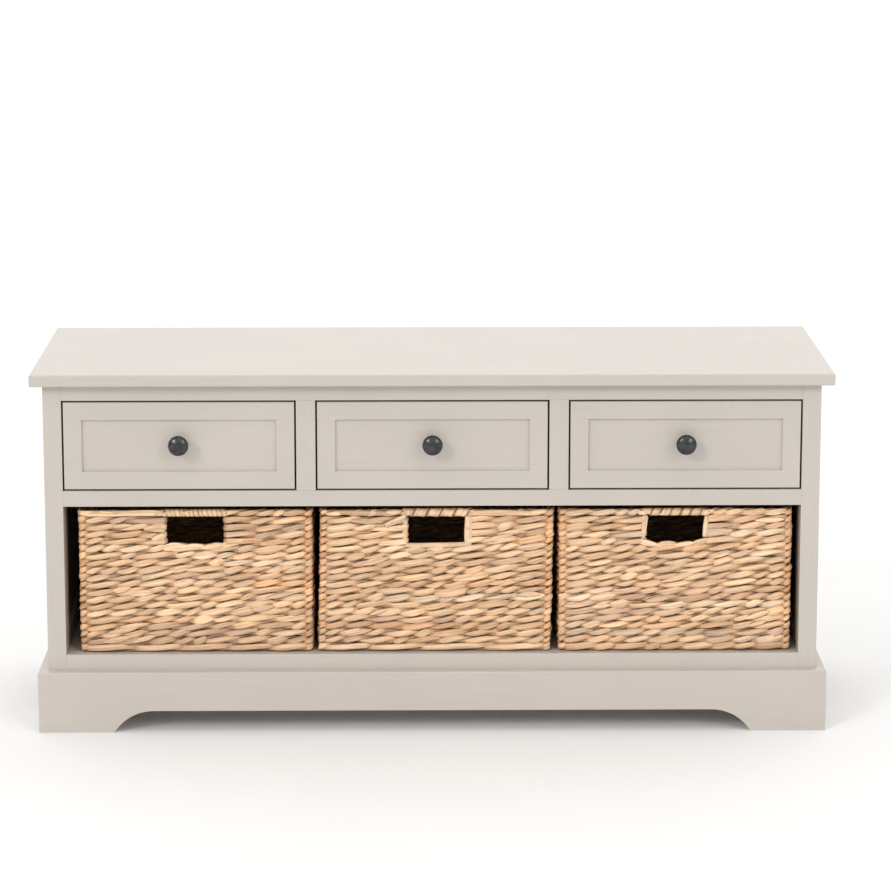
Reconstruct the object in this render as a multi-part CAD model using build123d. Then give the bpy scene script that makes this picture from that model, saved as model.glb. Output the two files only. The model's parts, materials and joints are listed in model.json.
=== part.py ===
from build123d import *
import os

# Entryway storage bench: a painted wooden carcass on a plinth, with three inset drawers in a row over an
# open bay that holds three woven storage baskets.
#
# Frame: X runs along the width, -Y faces the user and +Z is up. The origin is at floor level, at the centre
# of the overall footprint, knobs included. Everything is in millimetres.
#
# How it is built. Each end is a frame of two posts and two rails round a recessed panel. Rails tenoned into
# the posts join the ends across the front and the back. The seat is a frame of two long rails and two end
# pieces round a flat field panel, tongued together, and screwed on from below through bearers. Each drawer
# runs on the deck, between guide strips and under the bearers. The baskets stand loose on the shelf.

# Overall sizes
WIDTH = 1000.0
HEIGHT = 460.0
TOP_DEPTH = 340.0
TOP_THICK = 15.0
OVERHANG = 15.0  # seat past the carcass at the front and at both ends; the back is flush
PLINTH_HEIGHT = 78.5
PLINTH_THICK = 12.0

# Frame stock
POST_THICK = 23.0
POST_DEPTH = 45.0
RAIL_DEPTH = 22.0
FACE_RAIL_HEIGHT = 20.0
DIVIDER_WIDTH = 24.0
SIDE_RAIL_HEIGHT = 45.0
BACK_RAIL_HEIGHT = 45.0

# Heights of the front
DRAWER_OPENING_HEIGHT = 115.0
SHELF_TOP = 98.5
FRAME_FOOT = 40.0  # underside of the bottom rails, hidden by the plinth

# Panels and joinery
SIDE_PANEL_THICK = 9.0
SIDE_PANEL_SET = 6.0  # recess of the side panel behind the outer face
DECK_THICK = 9.0
SHELF_THICK = 12.0
BACK_THICK = 6.0
BACK_RABBET = 10.0
BACK_PANEL_FOOT = 60.0
GROOVE = 8.0
PANEL_PLAY = 1.0
SIDE_TENON = 18.0
FACE_TENON = 14.0
FACE_TENON_THICK = 10.0
FACE_TENON_SET = 5.0  # tenon behind the front face, and its shoulder at the top and bottom
STUB_TENON = 8.0
LEDGE = 8.0  # how far the deck and the shelf lap into their rails
BATTEN_LAP = 14.0  # how far the battens reach under them

# Seat
SEAT_FRONT_RAIL = 48.0
SEAT_BACK_RAIL = 30.0
SEAT_END = 40.0
TONGUE = 6.0
TONGUE_THICK = 5.0
GROOVE_STOP = 10.0  # the seat's grooves stop this far from each end of its long rails
SEAT_EDGE = 2.0
EASED = 1.0

# Plinth cut-outs
ARCH_HEIGHT = 28.0
ARCH_RADIUS = 58.0
FRONT_FOOT = 95.0
SIDE_BACK_FOOT = 80.0
FOOT_EASE = 3.0

# Drawers
DRAWERS = 3
FRONT_GAP = 2.2
FRONT_THICK = 18.0
FRONT_FRAME = 22.5
RECESS = 3.0
BOX_THICK = 12.0
BOX_HEIGHT = 100.0
BOX_LENGTH = 272.0
BOX_RISE = 0.3  # side edges above the deck
HOUSING = 5.0  # sides let into the drawer front
BOTTOM_THICK = 4.0
BOTTOM_RAISE = 8.0
BOTTOM_GROOVE = 6.0
BOTTOM_PLAY = 0.5
GUIDE_HEIGHT = 25.0
STOP_WIDTH = 40.0
STOP_DEPTH = 16.0
STOP_HEIGHT = 12.0
STOP_GAP = 0.3  # between a closed drawer and its stop

# Knobs and screws
KNOB_LENGTH = 25.0
KNOB_RADIUS = 12.7
KNOB_BASE_RADIUS = 7.0
KNOB_NECK_RADIUS = 4.6
KNOB_FOOT_HEIGHT = 1.2
KNOB_NECK_OUT = 6.5  # distance of the neck, and below of the rim, from the face that the knob stands on
KNOB_RIM_OUT = 17.5
KNOB_RIM_THICK = 3.0
KNOB_DOME_FALL = 1.7
KNOB_BORE_DEPTH = 12.0
KNOB_RISE = 3.0  # knobs sit a little above the middle of the drawer front
SCREW_RADIUS = 2.0
SCREW_PLAY = 0.05
CLEARANCE_HOLE = 2.3
SCREW_HEAD_RADIUS = 4.0
SCREW_HEAD_THICK = 2.4
KNOB_SCREW_BITE = 10.0
BEARER_WIDTH = 24.0
END_BEARER_WIDTH = 22.0
COUNTERBORE_DEPTH = 5.0
COUNTERBORE_RADIUS = 4.6
TOP_SCREW_BITE = 9.0
TIP_ROOM = 1.0  # depth of a blind hole past the tip of its screw
BEARER_SCREW_SET = 25.0  # first and last screw of a bearer, from the edge of the field panel and from its end
BACK_SCREW_LENGTH = 18.0
BATTEN_SCREW_DROP = 7.0  # back screws below the underside of the deck or the shelf
DRIVE_RADIUS = 1.2
DRIVE_DEPTH = 1.2

# Baskets
BASKETS = 3
BASKET_WIDTH = 296.0
BASKET_DEPTH = 300.0
BASKET_HEIGHT = 184.0
BASKET_PITCH = 302.0
BASKET_SHIFT = 4.0  # the row of baskets stands a little off centre
BASKET_INSET = 9.0
BASKET_WALL = 9.0
BASKET_CORNER = 10.0
BASKET_LIFT = 0.3
HANDLE_WIDTH = 71.0
HANDLE_HEIGHT = 33.0
HANDLE_TOP = 10.0  # rim left above the hand hole
HANDLE_CORNER = 7.0
WIRE_RADIUS = 2.0

# Derived places
CARCASS_DEPTH = TOP_DEPTH - OVERHANG
KNOB_REACH = KNOB_LENGTH - RECESS
BACK_Y = (CARCASS_DEPTH + KNOB_REACH) / 2
FACE_Y = BACK_Y - CARCASS_DEPTH
SEAT_FRONT_Y = FACE_Y - OVERHANG
OUTER_X = WIDTH / 2 - OVERHANG
INNER_X = OUTER_X - POST_THICK
UNDER_TOP = HEIGHT - TOP_THICK
RAIL_BACK_Y = FACE_Y + RAIL_DEPTH
PANEL_BACK_Y = BACK_Y - BACK_THICK  # front face of the back panel
FRONT_POST_Y = FACE_Y + POST_DEPTH
BACK_POST_Y = BACK_Y - POST_DEPTH
TOP_RAIL_Z = UNDER_TOP - FACE_RAIL_HEIGHT
DECK_TOP = TOP_RAIL_Z - DRAWER_OPENING_HEIGHT
MIDDLE_RAIL_Z = DECK_TOP - FACE_RAIL_HEIGHT
SIDE_TOP_RAIL_Z = UNDER_TOP - SIDE_RAIL_HEIGHT
SIDE_BOTTOM_RAIL_TOP = PLINTH_HEIGHT + SIDE_RAIL_HEIGHT
OPENING_WIDTH = (2 * INNER_X - (DRAWERS - 1) * DIVIDER_WIDTH) / DRAWERS
DRAWER_PITCH = OPENING_WIDTH + DIVIDER_WIDTH
DIVIDER_X = DRAWER_PITCH / 2
PANEL_OUT_X = OUTER_X - SIDE_PANEL_SET
PANEL_IN_X = PANEL_OUT_X - SIDE_PANEL_THICK
FRONT_WIDTH = OPENING_WIDTH - 2 * FRONT_GAP
BOX_BACK_Y = FACE_Y + FRONT_THICK + BOX_LENGTH
BOX_FOOT = DECK_TOP + BOX_RISE
BOTTOM_Z = BOX_FOOT + BOTTOM_RAISE
KNOB_Z = DECK_TOP + DRAWER_OPENING_HEIGHT / 2 + KNOB_RISE
BASKET_Z = SHELF_TOP + BASKET_LIFT
BASKET_FRONT_Y = FACE_Y + BASKET_INSET
SEAT_TONGUE_Z = HEIGHT - TOP_THICK / 2 - TONGUE_THICK / 2


def block(x_range, y_range, z_range):
    """A box that fills three ranges, each given as (one end, the other end)."""
    spans = [sorted(span) for span in (x_range, y_range, z_range)]
    sizes = [high - low for low, high in spans]
    centre = [(high + low) / 2 for low, high in spans]
    return Pos(*centre) * Box(*sizes)


def rod(centre, radius, along, start, end):
    """A round bar. along is X, Y or Z, and centre holds the other two coordinates in X, Y, Z order."""
    bar = Pos(0, 0, (start + end) / 2) * Cylinder(radius, abs(end - start))
    if along == "Y":
        return Pos(centre[0], 0, centre[1]) * Rot(-90, 0, 0) * bar
    if along == "X":
        return Pos(0, centre[0], centre[1]) * Rot(0, 90, 0) * bar
    return Pos(centre[0], centre[1], 0) * bar


def mirrored(shape):
    """The same piece for the other end of the bench."""
    return mirror(shape, about=Plane.YZ)


def ease(shape, radius, keep):
    """Rounds those edges of a shape whose centre passes the test keep."""
    return fillet(shape.edges().filter_by(lambda edge: keep(edge.center())), radius)


def near(value, target):
    return abs(value - target) < 1e-3


# ---- Seat ----


def seat_rail(y_outer, y_inner):
    """A long rail of the seat: full width, grooved along its inner edge, with rounded outer edges."""
    rail = block((-WIDTH / 2, WIDTH / 2), (y_outer, y_inner), (UNDER_TOP, HEIGHT))
    outer = lambda c: near(c.Y, y_outer) or near(abs(c.X), WIDTH / 2) and not near(c.Y, y_inner)
    rail = ease(rail, SEAT_EDGE, outer)
    inward = 1 if y_inner > y_outer else -1
    groove_x = WIDTH / 2 - GROOVE_STOP
    groove_z = (SEAT_TONGUE_Z, SEAT_TONGUE_Z + TONGUE_THICK)
    return rail - block((-groove_x, groove_x), (y_inner - inward * TONGUE, y_inner), groove_z)


def seat_end():
    """Left end piece of the seat, tongued into both long rails and grooved for the field panel."""
    y_range = (SEAT_FRONT_Y + SEAT_FRONT_RAIL, BACK_Y - SEAT_BACK_RAIL)
    tongue_z = (SEAT_TONGUE_Z, SEAT_TONGUE_Z + TONGUE_THICK)
    inner_x = -WIDTH / 2 + SEAT_END
    end = block((-WIDTH / 2, inner_x), y_range, (UNDER_TOP, HEIGHT))
    end = ease(end, SEAT_EDGE, lambda c: near(c.X, -WIDTH / 2) and not near(c.Z, HEIGHT - TOP_THICK / 2))
    end += block((-WIDTH / 2 + GROOVE_STOP, inner_x), (y_range[0] - TONGUE, y_range[1] + TONGUE), tongue_z)
    return end - block((inner_x - TONGUE, inner_x), (y_range[0] - TONGUE, y_range[1] + TONGUE), tongue_z)


def seat_field():
    """Field panel of the seat, with a tongue all round and blind holes for the screws of the bearers."""
    x_half = WIDTH / 2 - SEAT_END
    y_range = (SEAT_FRONT_Y + SEAT_FRONT_RAIL, BACK_Y - SEAT_BACK_RAIL)
    tongue_z = (SEAT_TONGUE_Z, SEAT_TONGUE_Z + TONGUE_THICK)
    panel = block((-x_half, x_half), y_range, (UNDER_TOP, HEIGHT))
    panel += block((-x_half - TONGUE, x_half + TONGUE), (y_range[0] - TONGUE, y_range[1] + TONGUE), tongue_z)
    for place in bearer_screw_places():
        panel -= rod(place, SCREW_RADIUS + SCREW_PLAY, "Z", UNDER_TOP, UNDER_TOP + TOP_SCREW_BITE + TIP_ROOM)
    return panel


# ---- End frames ----


def panel_slot(y_range, z_range):
    """The space that the left side panel and the rail tenons take up across the thickness of the frame."""
    return block((-PANEL_OUT_X, -PANEL_IN_X), y_range, z_range)


def side_joint_slots(y_inner, into):
    """What the left end frame's joints cut from a post: two mortises and the groove of the panel."""
    bottom = (FRAME_FOOT + FACE_TENON_SET, SIDE_BOTTOM_RAIL_TOP - GROOVE)
    top = (SIDE_TOP_RAIL_Z + GROOVE, UNDER_TOP - FACE_TENON_SET)
    groove = (SIDE_BOTTOM_RAIL_TOP - GROOVE, SIDE_TOP_RAIL_Z + GROOVE)
    cut = panel_slot((y_inner, y_inner + into * SIDE_TENON), bottom)
    cut += panel_slot((y_inner, y_inner + into * SIDE_TENON), top)
    return cut + panel_slot((y_inner, y_inner + into * GROOVE), groove)


def face_tenon_space(z_range, y_face, inward):
    """The left tenon of a rail that runs across the bench, whose outer face lies at y_face."""
    y_range = (y_face + inward * FACE_TENON_SET, y_face + inward * (FACE_TENON_SET + FACE_TENON_THICK))
    return block((-INNER_X - FACE_TENON, -INNER_X), y_range, z_range)


def tenon_height(z_range):
    """A rail's height less a shoulder at the top and bottom."""
    return z_range[0] + FACE_TENON_SET, z_range[1] - FACE_TENON_SET


TOP_RAIL_SPAN = (TOP_RAIL_Z, UNDER_TOP)
MIDDLE_RAIL_SPAN = (MIDDLE_RAIL_Z, DECK_TOP)
BOTTOM_RAIL_SPAN = (FRAME_FOOT, SHELF_TOP)
BACK_RAIL_SPAN = (UNDER_TOP - BACK_RAIL_HEIGHT, UNDER_TOP)


def front_post():
    """Left front post, from the floor to the seat."""
    post = block((-OUTER_X, -INNER_X), (FACE_Y, FRONT_POST_Y), (0, UNDER_TOP))
    post = ease(post, EASED, lambda c: near(c.X, -OUTER_X) and near(c.Y, FACE_Y))
    post -= side_joint_slots(FRONT_POST_Y, -1)
    for span in (TOP_RAIL_SPAN, MIDDLE_RAIL_SPAN, BOTTOM_RAIL_SPAN):
        post -= face_tenon_space(tenon_height(span), FACE_Y, 1)
    return post


def back_post():
    """Left back post, rabbeted for the back panel."""
    post = block((-OUTER_X, -INNER_X), (BACK_POST_Y, BACK_Y), (0, UNDER_TOP))
    post = ease(post, EASED, lambda c: near(c.X, -OUTER_X) and near(c.Y, BACK_Y))
    post -= side_joint_slots(BACK_POST_Y, 1)
    post -= face_tenon_space(tenon_height(BACK_RAIL_SPAN), PANEL_BACK_Y, -1)
    post -= block((-INNER_X - BACK_RABBET, -INNER_X), (PANEL_BACK_Y, BACK_Y), (BACK_PANEL_FOOT, UNDER_TOP))
    return post - back_screw_pilots()


def side_rail(z_range, groove_z):
    """A left side rail with a tenon at each end, haunched to fill the panel groove."""
    rail = block((-OUTER_X, -INNER_X), (FRONT_POST_Y, BACK_POST_Y), z_range)
    tenons = panel_slot((FRONT_POST_Y - SIDE_TENON, BACK_POST_Y + SIDE_TENON), z_range)
    tenons &= panel_slot((FACE_Y, BACK_Y), (FRAME_FOOT + FACE_TENON_SET, UNDER_TOP - FACE_TENON_SET))
    return rail + tenons - panel_slot((FACE_Y, BACK_Y), groove_z)


def side_panel():
    """Left side panel, loose in its grooves so that it can swell."""
    room = GROOVE - PANEL_PLAY
    y_range = (FRONT_POST_Y - room, BACK_POST_Y + room)
    return panel_slot(y_range, (SIDE_BOTTOM_RAIL_TOP - room, SIDE_TOP_RAIL_Z + room))


# ---- Rails and dividers across the front and back ----


def cross_rail(z_range, y_face, inward):
    """A rail across the bench with a tenon at each end."""
    rail = block((-INNER_X, INNER_X), (y_face, y_face + inward * RAIL_DEPTH), z_range)
    tenon = face_tenon_space(tenon_height(z_range), y_face, inward)
    return rail + tenon + mirrored(tenon)


def divider_tenons(x_centre):
    """The stub tenons above and below a drawer divider."""
    x_range = (x_centre - FACE_TENON_THICK / 2, x_centre + FACE_TENON_THICK / 2)
    y_range = (FACE_Y + FACE_TENON_SET, FACE_Y + FACE_TENON_SET + STUB_TENON)
    return block(x_range, y_range, (DECK_TOP - STUB_TENON, TOP_RAIL_Z + STUB_TENON))


def divider(x_centre):
    """An upright between two drawers."""
    x_range = (x_centre - DIVIDER_WIDTH / 2, x_centre + DIVIDER_WIDTH / 2)
    return block(x_range, (FACE_Y, RAIL_BACK_Y), (DECK_TOP, TOP_RAIL_Z)) + divider_tenons(x_centre)


def face_top_rail():
    rail = cross_rail(TOP_RAIL_SPAN, FACE_Y, 1)
    return rail - divider_tenons(-DIVIDER_X) - divider_tenons(DIVIDER_X)


def face_middle_rail():
    """The rail under the drawers, with a ledge for the deck."""
    rail = cross_rail(MIDDLE_RAIL_SPAN, FACE_Y, 1) - divider_tenons(-DIVIDER_X) - divider_tenons(DIVIDER_X)
    return rail - panel_on_ledge(DECK_TOP, DECK_THICK)


def face_bottom_rail():
    """The rail under the baskets, with a ledge for the shelf. Its lower half is behind the plinth."""
    return cross_rail(BOTTOM_RAIL_SPAN, FACE_Y, 1) - panel_on_ledge(SHELF_TOP, SHELF_THICK)


def back_top_rail():
    return cross_rail(BACK_RAIL_SPAN, PANEL_BACK_Y, -1) - back_screw_pilots()


# ---- Inside the carcass ----


def panel_on_ledge(top_z, thick):
    """A horizontal panel from the ledge of its front rail to the back panel."""
    return block((-INNER_X, INNER_X), (RAIL_BACK_Y - LEDGE, PANEL_BACK_Y), (top_z - thick, top_z))


def battens(top_z, height, end_x):
    """Strips that carry a horizontal panel: one at each end, up to end_x, and one along the back."""
    z_range = (top_z - height, top_z)
    end = block((-end_x, BATTEN_LAP - INNER_X), (FRONT_POST_Y, BACK_POST_Y), z_range)
    back = block((-INNER_X, INNER_X), (PANEL_BACK_Y - BATTEN_LAP, PANEL_BACK_Y), z_range)
    return Compound([end, mirrored(end), back - back_screw_pilots()])


def drawer_guides_and_stops():
    """Strips on the deck: a guide behind each divider and at each end, and a stop behind each drawer."""
    z_range = (DECK_TOP, DECK_TOP + GUIDE_HEIGHT)
    end = block((-PANEL_IN_X, -INNER_X), (FRONT_POST_Y, BACK_POST_Y), z_range)
    x_range = (-DIVIDER_X - DIVIDER_WIDTH / 2, -DIVIDER_X + DIVIDER_WIDTH / 2)
    middle = block(x_range, (RAIL_BACK_Y, PANEL_BACK_Y), z_range)
    stop_y = (BOX_BACK_Y + STOP_GAP, BOX_BACK_Y + STOP_GAP + STOP_DEPTH)
    stop = block((-STOP_WIDTH / 2, STOP_WIDTH / 2), stop_y, (DECK_TOP, DECK_TOP + STOP_HEIGHT))
    stops = [Pos(number * DRAWER_PITCH, 0, 0) * stop for number in (-1, 0, 1)]
    return Compound([end, mirrored(end), middle, mirrored(middle), *stops])


BEARER_BACK_Y = PANEL_BACK_Y - RAIL_DEPTH
END_BEARER_X = INNER_X - END_BEARER_WIDTH / 2
BEARER_XS = (-END_BEARER_X, -DIVIDER_X, DIVIDER_X, END_BEARER_X)
BEARER_SCREW_YS = (
    SEAT_FRONT_Y + SEAT_FRONT_RAIL + BEARER_SCREW_SET,
    (RAIL_BACK_Y + BEARER_BACK_Y) / 2,
    BEARER_BACK_Y - BEARER_SCREW_SET,
)


def bearer_screw_places():
    return [(x, y) for x in BEARER_XS for y in BEARER_SCREW_YS]


def top_bearers():
    """Strips from the front rail to the back rail, which hold the seat down and keep the drawers level."""
    made = []
    for x in BEARER_XS:
        width = END_BEARER_WIDTH if abs(x) > DIVIDER_X else BEARER_WIDTH
        bearer = block((x - width / 2, x + width / 2), (RAIL_BACK_Y, BEARER_BACK_Y), TOP_RAIL_SPAN)
        for y in BEARER_SCREW_YS:
            bearer -= rod((x, y), CLEARANCE_HOLE, "Z", TOP_RAIL_Z, UNDER_TOP)
            bearer -= rod((x, y), COUNTERBORE_RADIUS, "Z", TOP_RAIL_Z, TOP_RAIL_Z + COUNTERBORE_DEPTH)
        made.append(bearer)
    return Compound(made)


def back_panel():
    x_half = INNER_X + BACK_RABBET
    panel = block((-x_half, x_half), (PANEL_BACK_Y, BACK_Y), (BACK_PANEL_FOOT, UNDER_TOP))
    return panel - back_screw_cutters(SCREW_PLAY)


# ---- Plinth ----


def arch(start, end):
    """Outline of a cut-out between two feet of the plinth: flat on top, with an arc at each end."""
    reach = (ARCH_RADIUS**2 - (ARCH_RADIUS - ARCH_HEIGHT) ** 2) ** 0.5
    left_top = (start + reach, ARCH_HEIGHT)
    right_top = (end - reach, ARCH_HEIGHT)
    left = TangentArc(left_top, (start, 0), tangent=(-1, 0))
    right = TangentArc(right_top, (end, 0), tangent=(1, 0))
    return make_face([left, Line((start, 0), (end, 0)), right, Line(right_top, left_top)])


def mitred(points):
    """A plinth board from its plan, as tall as the plinth."""
    return extrude(make_face(Polyline(*points, close=True)), amount=PLINTH_HEIGHT)


def plinth_front():
    out_x = OUTER_X + PLINTH_THICK
    out_y = FACE_Y - PLINTH_THICK
    board = mitred([(-out_x, out_y), (out_x, out_y), (OUTER_X, FACE_Y), (-OUTER_X, FACE_Y)])
    void = Plane.XZ.offset(-FACE_Y) * arch(-out_x + FRONT_FOOT, out_x - FRONT_FOOT)
    board -= extrude(void, amount=PLINTH_THICK)
    board = ease(board, SEAT_EDGE, lambda c: near(c.Y, out_y) and near(c.Z, PLINTH_HEIGHT))
    return ease(board, FOOT_EASE, lambda c: near(c.Z, 0) and near(abs(c.X), out_x - FRONT_FOOT))


def plinth_side():
    """Left board of the plinth."""
    out_x = OUTER_X + PLINTH_THICK
    out_y = FACE_Y - PLINTH_THICK
    board = mitred([(-out_x, out_y), (-OUTER_X, FACE_Y), (-OUTER_X, BACK_Y), (-out_x, BACK_Y)])
    void = Plane.YZ.offset(-out_x) * arch(out_y + FRONT_FOOT, BACK_Y - SIDE_BACK_FOOT)
    board -= extrude(void, amount=PLINTH_THICK)
    board = ease(board, SEAT_EDGE, lambda c: near(c.X, -out_x) and near(c.Z, PLINTH_HEIGHT))
    feet = (out_y + FRONT_FOOT, BACK_Y - SIDE_BACK_FOOT)
    return ease(board, FOOT_EASE, lambda c: near(c.Z, 0) and any(near(c.Y, y) for y in feet))


# ---- Screws ----


def pan_screw(place, along, head_start, tip):
    """A pan-head screw with a square drive. The head ends at head_start, and the shank runs on to tip."""
    out = -1 if tip > head_start else 1
    head_end = head_start + out * SCREW_HEAD_THICK
    drive = rod(place, DRIVE_RADIUS, along, *sorted((head_end, head_end - out * DRIVE_DEPTH)))
    shank = rod(place, SCREW_RADIUS, along, *sorted((head_start, tip)))
    head = rod(place, SCREW_HEAD_RADIUS, along, *sorted((head_start, head_end)))
    return head + shank - drive


def top_fixing_screws():
    seat_z = TOP_RAIL_Z + COUNTERBORE_DEPTH
    tip_z = UNDER_TOP + TOP_SCREW_BITE
    return Compound([pan_screw(place, "Z", seat_z, tip_z) for place in bearer_screw_places()])


def back_screw_places():
    """Where screws hold the back panel: to the top rail, to both back battens and to the posts."""
    heights = (
        UNDER_TOP - BACK_RAIL_HEIGHT / 2,
        DECK_TOP - DECK_THICK - BATTEN_SCREW_DROP,
        SHELF_TOP - SHELF_THICK - BATTEN_SCREW_DROP,
    )
    across = [(x * OPENING_WIDTH, z) for z in heights for x in (-1.4, -0.7, 0, 0.7, 1.4)]
    post_x = INNER_X + BACK_RABBET / 2
    upright = [(side * post_x, share * UNDER_TOP) for side in (-1, 1) for share in (0.3, 0.55, 0.8)]
    return across + upright


def back_screw_cutters(play):
    """Countersunk screws through the back panel, grown by play: the holes that they need."""
    made = []
    for x, z in back_screw_places():
        head = Cone(SCREW_RADIUS + play, SCREW_HEAD_RADIUS + play, SCREW_HEAD_THICK)
        head = Pos(x, BACK_Y - SCREW_HEAD_THICK / 2, z) * Rot(-90, 0, 0) * head
        shank_y = (BACK_Y - BACK_SCREW_LENGTH - play, BACK_Y - SCREW_HEAD_THICK)
        made.append(head + rod((x, z), SCREW_RADIUS + play, "Y", *shank_y))
    return Compound(made)


def back_screw_pilots():
    return back_screw_cutters(SCREW_PLAY)


def back_panel_screws():
    screws = back_screw_cutters(0).solids()
    drives = [rod(place, DRIVE_RADIUS, "Y", BACK_Y - DRIVE_DEPTH, BACK_Y) for place in back_screw_places()]
    return Compound([screw - drive for screw, drive in zip(screws, drives)])


# ---- Drawers, each made at the middle of the bench and then moved sideways ----


def drawer_front():
    """One board with a recessed panel, a hole for the knob screw, and housings for the sides and bottom."""
    half = FRONT_WIDTH / 2
    z_range = (DECK_TOP + FRONT_GAP, TOP_RAIL_Z - FRONT_GAP)
    front = block((-half, half), (FACE_Y, FACE_Y + FRONT_THICK), z_range)
    front = ease(front, EASED, lambda c: near(c.Y, FACE_Y))
    inner = half - FRONT_FRAME
    inner_z = (z_range[0] + FRONT_FRAME, z_range[1] - FRONT_FRAME)
    front -= block((-inner, inner), (FACE_Y, FACE_Y + RECESS), inner_z)
    front -= rod((0, KNOB_Z), CLEARANCE_HOLE, "Y", FACE_Y, FACE_Y + FRONT_THICK)
    side = drawer_side_blank()
    return front - side - mirrored(side) - drawer_bottom_space(0)


def drawer_side_blank():
    """Left side of the drawer box before its groove is cut. Its front end is let into the drawer front."""
    half = FRONT_WIDTH / 2
    y_range = (FACE_Y + FRONT_THICK - HOUSING, BOX_BACK_Y)
    return block((-half, -half + BOX_THICK), y_range, (BOX_FOOT, BOX_FOOT + BOX_HEIGHT))


def drawer_bottom_space(play):
    """The drawer bottom with its edges drawn in by play; without play it is the room in the grooves."""
    half = FRONT_WIDTH / 2 - BOX_THICK + BOTTOM_GROOVE - play
    y_range = (FACE_Y + FRONT_THICK - BOTTOM_GROOVE + play, BOX_BACK_Y)
    return block((-half, half), y_range, (BOTTOM_Z, BOTTOM_Z + BOTTOM_THICK))


def drawer_side():
    """Left side of the drawer box, with its two long top edges rounded."""
    mid_y = (FACE_Y + FRONT_THICK - HOUSING + BOX_BACK_Y) / 2
    side = drawer_side_blank() - drawer_bottom_space(0)
    return ease(side, EASED, lambda c: near(c.Z, BOX_FOOT + BOX_HEIGHT) and near(c.Y, mid_y))


def drawer_back():
    """Back of the box, standing on the drawer bottom between the sides."""
    half = FRONT_WIDTH / 2 - BOX_THICK
    z_range = (BOTTOM_Z + BOTTOM_THICK, BOX_FOOT + BOX_HEIGHT)
    return block((-half, half), (BOX_BACK_Y - BOX_THICK, BOX_BACK_Y), z_range)


def knob():
    """Round mushroom knob with a domed face, blind-bored for its screw. Points are (radius, distance out)."""
    neck_point = (KNOB_NECK_RADIUS, KNOB_NECK_OUT)
    under_point = (KNOB_RADIUS * 0.86, KNOB_RIM_OUT - KNOB_RIM_THICK)
    rim_point = (KNOB_RADIUS, KNOB_RIM_OUT)
    dome_point = (KNOB_RADIUS * 0.62, KNOB_LENGTH - KNOB_DOME_FALL)
    spread = (1, 0.25)  # slope under the head
    base = Line((0, 0), (KNOB_BASE_RADIUS, 0))
    foot = Line(base @ 1, (KNOB_BASE_RADIUS, KNOB_FOOT_HEIGHT))
    neck = Spline(foot @ 1, neck_point, under_point, tangents=((-1, 0.6), spread))
    edge = Spline(neck @ 1, rim_point, tangents=(spread, (0, 1)))
    dome = Spline(edge @ 1, dome_point, (0, KNOB_LENGTH), tangents=((0, 1), (-1, 0)))
    axis = Line(dome @ 1, base @ 0)
    outline = make_face([base, foot, neck, edge, dome, axis])
    turned = revolve(Plane.XZ * outline, Axis.Z)
    bore = rod((0, 0), SCREW_RADIUS + SCREW_PLAY, "Z", 0, KNOB_BORE_DEPTH)
    return Pos(0, FACE_Y + RECESS, KNOB_Z) * Rot(90, 0, 0) * (turned - bore)


def knob_screw():
    """Machine screw from inside the drawer into the knob."""
    return pan_screw((0, KNOB_Z), "Y", FACE_Y + FRONT_THICK, FACE_Y + RECESS - KNOB_SCREW_BITE)


def drawer_pieces():
    side = drawer_side()
    return {
        "front": drawer_front(),
        "left_side": side,
        "right_side": mirrored(side),
        "back": drawer_back(),
        "bottom": drawer_bottom_space(BOTTOM_PLAY),
        "knob": knob(),
        "knob_screw": knob_screw(),
    }


# ---- Baskets, each made at the middle of the bench and then moved sideways ----


def rounded_column(inset, z_low, z_high):
    """The basket's plan, drawn in by inset, between two heights."""
    plan = RectangleRounded(BASKET_WIDTH - 2 * inset, BASKET_DEPTH - 2 * inset, BASKET_CORNER - inset)
    return extrude(Pos(0, BASKET_FRONT_Y + BASKET_DEPTH / 2, z_low) * plan, amount=z_high - z_low)


def basket_weave():
    """The woven body as one closed shell, open at the top, with a hand hole in the front wall."""
    top_z = BASKET_Z + BASKET_HEIGHT
    shell = rounded_column(0, BASKET_Z, top_z) - rounded_column(BASKET_WALL, BASKET_Z + BASKET_WALL, top_z)
    hole = Pos(0, top_z - HANDLE_TOP - HANDLE_HEIGHT / 2)
    hole *= RectangleRounded(HANDLE_WIDTH, HANDLE_HEIGHT, HANDLE_CORNER)
    return shell - extrude(Plane.XZ.offset(-BASKET_FRONT_Y - BASKET_WALL) * hole, amount=BASKET_WALL)


def basket_wire_frame():
    """Welded wire inside the weave: a hoop at the rim, a hoop at the base and an upright in each corner."""
    inset = BASKET_WALL / 2
    x = BASKET_WIDTH / 2 - inset
    y = BASKET_DEPTH / 2 - inset
    bend = BASKET_CORNER - inset
    low = BASKET_Z + inset
    high = BASKET_Z + BASKET_HEIGHT - inset
    hoop = Pos(0, 0, low) * hoop_of_wire(x, y, bend)
    frame = hoop + Pos(0, 0, high - low) * hoop
    corner = 1 - 0.5**0.5
    for x_side in (-1, 1):
        for y_side in (-1, 1):
            place = (x_side * (x - bend * corner), y_side * (y - bend * corner))
            frame += rod(place, WIRE_RADIUS, "Z", low, high)
    return Pos(0, BASKET_FRONT_Y + BASKET_DEPTH / 2, 0) * frame


def hoop_of_wire(x, y, bend):
    """A flat rectangular hoop of round wire with rounded corners, from straight bars and quarter rings."""
    bar_x = rod((-y, 0), WIRE_RADIUS, "X", bend - x, x - bend)
    bar_y = rod((x, 0), WIRE_RADIUS, "Y", bend - y, y - bend)
    quarter = Rot(0, 0, -90) * Torus(bend, WIRE_RADIUS, major_angle=90)
    corner = Pos(x - bend, bend - y, 0) * quarter
    half = bar_x + bar_y + corner + mirrored(corner)
    return half + Rot(0, 0, 180) * half


def basket_pieces():
    return {"weave": basket_weave(), "wire_frame": basket_wire_frame()}


# ---- The whole bench ----


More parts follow.
